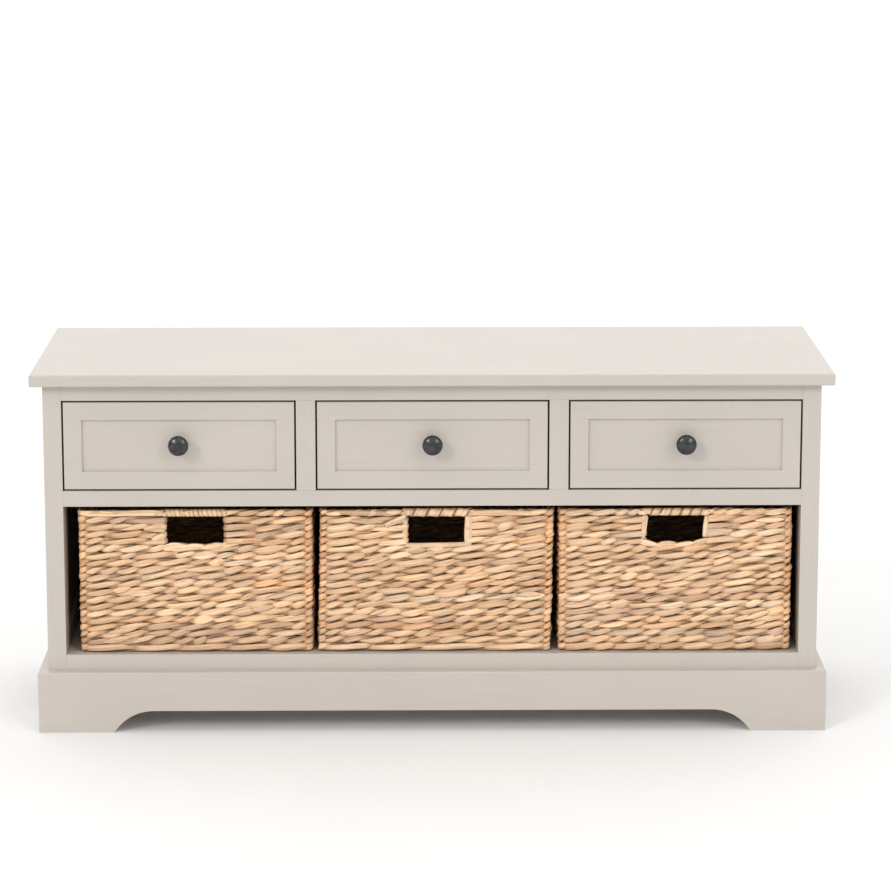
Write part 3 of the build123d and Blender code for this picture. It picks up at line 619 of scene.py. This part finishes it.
ROW_FORM = {
    "lens": LENS,
    "half_width": 4.4 * MM,
    "half_thick": 2.1 * MM,
    "reach": 2.7 * MM,  # outward from the middle of the wall, at the middle of a half turn
    "slant": 2.2 * MM,  # down and up from the middle of the rope, at the ends of a half turn
    "jitter": 0.7 * MM,
    "neck": (0.46, 0.86),  # share of the width left at a crossing
    "wide_share": 0.08,
}
RIM_FORM = {
    **ROW_FORM,
    "lens": 22 * MM,
    "half_width": 3.9 * MM,
    "slant": 1.4 * MM,
    "jitter": 0,
    "wide_share": 0,
}
BOTTOM_FORM = {**RIM_FORM, "half_width": 4.7 * MM, "slant": 1.3 * MM, "neck": (0.84, 0.96)}
BASE_FORM = {**RIM_FORM, "half_width": 4.6 * MM, "half_thick": 1.2 * MM, "reach": 1.7 * MM}


def lay_base(strands, x, y, z):
    """Straight ropes side by side across the bottom of the basket."""
    rng = strands.rng
    half_length, half_depth = BASKET_WIDTH / 2 - WALL, BASKET_DEPTH / 2 - WALL
    count = round(2 * half_depth / BASE_PITCH)
    for place in np.linspace(-half_depth, half_depth, count):
        marks = np.array(crossings(rng, [(-half_length, half_length)], LENS))
        twist = math.pi * (np.arange(len(marks)) + 0.5)
        s, offsets = twisted_pair(rng, marks, twist, BASE_FORM, rng.uniform(*BASE_TONES), False)
        for out, up, tilt, half_width, half_thick, tint in offsets:
            path = np.stack([x + s, y + place + up, z - out], 1)
            facing = np.stack([s * 0, tilt, s * 0 - 1], 1)
            strands.add(path, facing, half_width, half_thick, tint, closed=False)


LEAF_STEP = 3.0 * MM
LEAF_LIFT, SPLICE_LIFT = 3.4 * MM, 3.9 * MM  # outward from the middle of the wall
LEAF_HALF_THICK = 1.3 * MM
LEAF_WAVE, LEAF_WAVE_STEPS = 0.4 * MM, 5  # its rise and fall, and the steps that a radian of it takes
LEAF_RIPPLE, LEAF_RIPPLE_STEPS = 0.07, 3  # the same for its width, as a share
LEAF_END, LEAF_TIP = 4.0 * MM, 0.35  # length of a leaf's rounded end, and the width left at its tip


def lay_leaf(strands, loop, points, half_widths, tone, lift=LEAF_LIFT):
    """A single leaf laid over the weave through (distance from the front's middle, height) points."""
    rng = strands.rng
    points = np.array(points) * MM
    knots = np.linspace(0, 1, len(points))
    steps = max(8, round(np.abs(np.diff(points, axis=0)).sum() / LEAF_STEP))
    part = np.linspace(0, 1, steps)
    s = np.interp(part, knots, points[:, 0]) + loop.front_middle
    wave = np.sin(part * steps / LEAF_WAVE_STEPS + rng.uniform(*PHASE)) * LEAF_WAVE
    z = np.interp(part, knots, points[:, 1]) + wave
    centre, outward = loop.place(s, z)
    ripple = 1 + LEAF_RIPPLE * np.sin(part * steps / LEAF_RIPPLE_STEPS + rng.uniform(*PHASE))
    half_width = np.interp(part, np.linspace(0, 1, len(half_widths)), np.array(half_widths) * MM) * ripple
    from_end = np.minimum(part, 1 - part) * steps * LEAF_STEP
    round_off = np.sqrt(1 - (1 - np.clip(from_end / LEAF_END, 0.02, 1)) ** 2)
    half_width = half_width * (LEAF_TIP + (1 - LEAF_TIP) * round_off)
    tint = np.repeat((leaf_tints(rng, 1, tone) + LEAF_COLOURS[[PALE_LEAF]] * tone) / 2, steps, 0)
    path = centre + outward * (lift * round_off)[:, None]
    strands.add(path, outward, half_width, LEAF_HALF_THICK * round_off, tint, closed=False)


# Ends of new leaves. Sizes are in mm.
SPLICED_LEAVES = 12  # in each face
SPLICE_LENGTH, SPLICE_CLIMB, SPLICE_HALF_WIDTH = (22, 42), (2, 10), (2.6, 4.4)
SPLICE_TONES = (0.92, 1.1)
HOLE_CLEAR, HOLE_FOOT = 50, 222  # they keep this far to each side of the hole's middle above this height


def lay_spliced_leaves(strands, loop, low, high):
    """Ends of new leaves, worked in over the rows here and there, steeper than the rows."""
    rng = strands.rng
    for face_start, face_end in loop.faces():
        for _ in range(SPLICED_LEAVES):
            length, climb = rng.uniform(*SPLICE_LENGTH), rng.uniform(*SPLICE_CLIMB)
            half_width = rng.uniform(*SPLICE_HALF_WIDTH)
            start = (rng.uniform(face_start, face_end - length * MM) - loop.front_middle) / MM
            z = rng.uniform(low, high) / MM
            if -HOLE_CLEAR - length < start < HOLE_CLEAR and z > HOLE_FOOT:
                continue
            points = [(start, z - climb / 2), (start + length, z + climb / 2)]
            half_widths = [0.6, half_width, half_width, 0.6]
            lay_leaf(strands, loop, points, half_widths, rng.uniform(*SPLICE_TONES), SPLICE_LIFT)


WRAP_RINGS = 18  # in each turn
WRAP_OUT, WRAP_UP = 4.3 * MM, 3.5 * MM  # half the wrap's thickness and height
WRAP_HALF_THICK = 1.4 * MM
WRAP_SPREAD = (0.88, 1.12)
WRAP_TONE, WRAP_PICK, WRAP_PALE = 1.08, 0.4, 0.65  # its tone, and shares of a picked and the pale colour


def wrap_handle(strands, loop, start, end, z, pitch, half_width, rise):
    """Leaf wound round the rim above the hand hole, from start to end. rise is 1 for turns that climb to the
    right at the front and -1 for turns that fall."""
    rng = strands.rng
    turns = (end - start) / pitch
    rings = round(turns * WRAP_RINGS)
    angle = np.linspace(0, turns * 2 * math.pi, rings)
    s = loop.front_middle + np.linspace(start, end, rings) * MM
    centre, outward = loop.place(s, z)
    out, up = np.cos(angle)[:, None], rise * np.sin(angle)[:, None]
    path = centre + outward * out * WRAP_OUT + UP * up * WRAP_UP
    number = np.floor(angle / (2 * math.pi) + 0.5).astype(int)
    sizes = rng.uniform(*WRAP_SPREAD, number.max() + 1)[number]
    picks = leaf_tints(rng, number.max() + 1, WRAP_TONE)
    tint = (picks * WRAP_PICK + LEAF_COLOURS[PALE_LEAF] * WRAP_PALE)[number]
    facing = outward * out + UP * up
    half_thick = np.full(rings, WRAP_HALF_THICK)
    strands.add(path, facing, half_width * MM * sizes, half_thick, tint, closed=False)


STAIN = (0.62, 0.42, 0.27, 1.0)


def leaf():
    """Dried leaf: a tint for each half turn of a strand, lengthwise fibres and brown stains."""
    material, tree, bsdf = new_material("dried_leaf")
    tint = add(tree, "Attribute", {"attribute_name": "tint"}).outputs["Color"]
    place = add(tree, "Attribute", {"attribute_name": "fibre"}).outputs["Vector"]

    def stretched(scale):
        return add(tree, "Mapping", inputs={"Vector": place, "Scale": scale}).outputs[0]

    fibres = noise(tree, stretched((26, 620, 620)), 1.0, 4.0, 0.65)
    threads = noise(tree, stretched((60, 2600, 2600)), 1.0, 2.0)
    stains = noise(tree, stretched((90, 200, 200)), 1.0, 3.0, 0.65)
    stain = map_range(tree, stains, (0.60, 0.75), (0.0, 0.5))
    streaks = noise(tree, stretched((18, 300, 300)), 1.0, 2.0)
    streak = maths(tree, "MULTIPLY", spread(tree, streaks, 0.78, 1.16), spread(tree, fibres, 0.72, 1.22))
    feed(tree, bsdf.inputs["Base Color"], multiply(tree, stain, shade(tree, tint, streak), STAIN))
    feed(tree, bsdf.inputs["Roughness"], spread(tree, fibres, 0.42, 0.66))
    feed(tree, bsdf.inputs["Normal"], bump(tree, threads, 0.12 * MM, bump(tree, fibres, 0.7 * MM)))
    return material


# What sets the three baskets apart. lean is how far the top stands to the right of the foot, and slope how
# much further each side of the hand hole moves out on its way up. handle is the leaf wound round the rim
# above the hole. leaves are laid over the weave to finish the rim and the hole: each is its points, as
# distance to the right of the hole's middle and height, then its half widths from end to end, then its tone.
# Sizes of handles and leaves are in mm.
BASKETS = {
    "basket_1": {
        "seed": 11,
        "lean": 0.0,
        "handle": {"start": -39, "end": 38, "pitch": 5.8, "half_width": 3.0, "rise": -1},
        "slope": 0.0,
        "leaves": [
            ([(-150, 279), (-38, 279)], [3.6, 4.0, 3.7], 1.10),
            ([(-66, 258), (-50, 260), (-36.5, 261)], [1.5, 6.5, 8.5], 1.0),
            ([(-56, 245), (-37, 250)], [2.0, 5.0, 5.0], 1.05),
            ([(-42, 234), (-24, 237), (-6, 236)], [4.0, 5.6, 4.6, 2.0], 1.12),
            ([(-14, 234.5), (12, 237)], [2.0, 4.6, 4.2, 1.6], 1.08),
            ([(4, 234), (38, 238.5)], [1.6, 4.4, 4.8, 2.0], 1.12),
            ([(30, 236), (62, 245)], [2.0, 5.0, 5.2, 2.0], 1.14),
            ([(36, 268), (52, 271)], [3.5, 4.0, 2.0], 0.95),
        ],
        "bottom_lens": 52 * MM,
    },
    "basket_2": {
        "seed": 23,
        "lean": 3.6 * MM,
        "handle": {"start": -38, "end": 39, "pitch": 17.0, "half_width": 7.8, "rise": 1},
        "slope": 0.0,
        "leaves": [
            ([(38, 278.5), (120, 278)], [4.0, 4.2, 3.6], 1.02),
            ([(-128, 279), (-54, 278.5)], [3.4, 3.9, 3.6], 0.74),
            ([(39.5, 277), (40, 234)], [4.4, 4.8, 4.6], 1.04),
            ([(-39.5, 272), (-40, 236)], [3.0, 3.8, 3.4], 1.04),
            ([(-41, 237), (42, 237.5)], [3.4, 3.7, 3.6], 1.04),
            ([(-66, 262), (-38, 274)], [3.0, 4.2, 3.0], 1.0),
            ([(-110, 269), (-66, 268)], [2.0, 4.0, 2.0], 0.78),
            ([(-37, 228.5), (-12, 231)], [2.4, 5.0, 2.0], 0.72),
            ([(-14, 227), (22, 232.5)], [1.5, 4.4, 1.5], 0.96),
        ],
        "bottom_lens": 74 * MM,
    },
    "basket_3": {
        "seed": 37,
        "lean": 0.0,
        "handle": {"start": -38, "end": 39, "pitch": 12.6, "half_width": 5.6, "rise": 1},
        "slope": 2.2 * MM,
        "leaves": [
            ([(-38, 276), (-41.5, 243)], [4.2, 4.0, 2.6], 1.10),
            ([(38.5, 275), (36.5, 245)], [2.2, 3.4, 3.2], 0.98),
            ([(-46, 242), (-18, 235.5)], [3.4, 4.6, 3.6, 1.6], 1.04),
            ([(-26, 235.5), (2, 238.5)], [1.6, 4.2, 4.2, 1.6], 1.10),
            ([(-4, 235.5), (26, 238.5)], [1.6, 4.0, 4.4, 1.6], 1.05),
            ([(18, 235.5), (45, 244)], [1.6, 4.4, 4.4, 2.6], 1.0),
        ],
        "bottom_lens": 30 * MM,
    },
}


def weave_basket(body, plan, material):
    """All the strands of one basket, in four pieces."""
    low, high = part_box(body + "_weave")
    x, y = (low[0] + high[0]) / 2, (low[1] + high[1]) / 2
    rng = np.random.default_rng(plan["seed"])
    loop = Loop(x, y, WALL / 2)
    phases = rng.uniform(0, 2 * math.pi, 2)
    foot, rim = low[2] + BOTTOM_BAND / 2, high[2] - RIM / 2
    pitch = (rim - foot) / (ROWS + 1)
    pieces = {name: Strands(rng) for name in ("base", "lower_rows", "upper_rows", "rim")}
    lay_base(pieces["base"], x, y, low[2] + WALL / 2)
    lay_row(pieces["base"], loop, foot, {**BOTTOM_FORM, "lens": plan["bottom_lens"]}, 1.0, phases)
    for row in range(ROWS):
        z = foot + pitch * (row + 1)
        piece = pieces["lower_rows" if row < ROWS // 2 else "upper_rows"]
        hole = None
        if row >= ROWS - HOLE_ROWS:
            open_by = HOLE_HALF + TURNED_END + plan["slope"] * (row - ROWS + HOLE_ROWS) / HOLE_ROWS
            hole = (-open_by, open_by)
        tone = rng.uniform(*ROW_TONES) * (LOW_TONE if row < LOW_ROWS else 1.0)
        lay_row(piece, loop, z, ROW_FORM, tone, phases, hole)
    lay_row(pieces["rim"], loop, rim, RIM_FORM, 1.0, phases)
    wrap_handle(pieces["rim"], loop, z=rim, **plan["handle"])
    for points, half_widths, tone in plan["leaves"]:
        lay_leaf(pieces["rim"], loop, points, half_widths, tone)
    lay_spliced_leaves(pieces["rim"], loop, foot + pitch, rim - pitch)
    for name, strands in pieces.items():
        strands.build(f"{body}_{name}", body, material, plan["lean"])


def weave_baskets():
    material = leaf()
    for body, plan in BASKETS.items():
        weave_basket(body, plan, material)


# ---- Studio ----

CAMERA_PLACE = Vector((-0.028, -4.1165, 1.221))
CAMERA_TILT = 10.58  # degrees down
CAMERA_TURN = -0.64  # degrees anticlockwise, seen from above
CAMERA_LENS = 131.3  # mm
SENSOR = 36.0  # mm
CAMERA_SHIFT = -0.1
FLOOR_SIZE = 80.0
FLOOR = ((0.825, 0.825, 0.823), (0.84, 0.84, 0.838))
SURROUND = (1.0, 0.995, 0.985, 1.0)
BELOW, ABOVE, BEHIND = 0.60, 1.24, 0.5  # strength of the surround's light; the last is added at the back


def make_camera():
    data = bpy.data.cameras.new("camera")
    data.lens = CAMERA_LENS
    data.sensor_width = SENSOR
    data.shift_y = CAMERA_SHIFT
    data.clip_end = 100.0
    camera = bpy.data.objects.new("camera", data)
    camera.location = CAMERA_PLACE
    camera.rotation_euler = (math.radians(90 - CAMERA_TILT), 0, math.radians(CAMERA_TURN))
    bpy.context.scene.collection.objects.link(camera)
    bpy.context.scene.camera = camera


def add_sun(name, azimuth, elevation, strength, softness):
    """Distant soft light from in front. azimuth is to the right of the camera. Angles are in degrees."""
    data = bpy.data.lights.new(name, "SUN")
    data.energy = strength
    data.angle = math.radians(softness)
    light = bpy.data.objects.new(name, data)
    light.rotation_euler = (math.radians(90 - elevation), 0, math.radians(azimuth))
    bpy.context.scene.collection.objects.link(light)


def make_studio():
    """A pale floor, an even white surround and two soft lights from above the camera."""
    material, tree, bsdf = new_material("pale_floor")
    mottle = noise(tree, object_place(tree, EVENLY), 3.0, 2.0)
    feed(tree, bsdf.inputs["Base Color"], blotch(tree, mottle, FLOOR))
    bsdf.inputs["Roughness"].default_value = 0.9
    bpy.ops.mesh.primitive_plane_add(size=FLOOR_SIZE, location=(0, 0, 0))
    floor = bpy.context.object
    floor.name = "floor"
    floor.data.materials.append(material)
    world = bpy.data.worlds.new("surround")
    world.use_nodes = True
    sky = world.node_tree
    background = sky.nodes["Background"]
    background.inputs["Color"].default_value = SURROUND
    direction = add(sky, "SeparateXYZ", inputs={0: add(sky, "TexCoord").outputs["Generated"]})
    overhead = map_range(sky, direction.outputs["Z"], (0.0, 1.0), (BELOW, ABOVE))
    behind = map_range(sky, direction.outputs["Y"], (0.0, 1.0), (0.0, BEHIND))
    lighting = maths(sky, "ADD", overhead, behind)
    seen = add(sky, "LightPath").outputs["Is Camera Ray"]
    feed(sky, background.inputs["Strength"], maths(sky, "MAXIMUM", lighting, seen))
    bpy.context.scene.world = world
    add_sun("key_light", azimuth=-38.0, elevation=28.0, strength=0.80, softness=16.0)
    add_sun("second_light", azimuth=36.0, elevation=26.0, strength=0.42, softness=18.0)
    bpy.context.scene.view_settings.view_transform = "Standard"


finish_joinery()
weave_baskets()
make_camera()
make_studio()
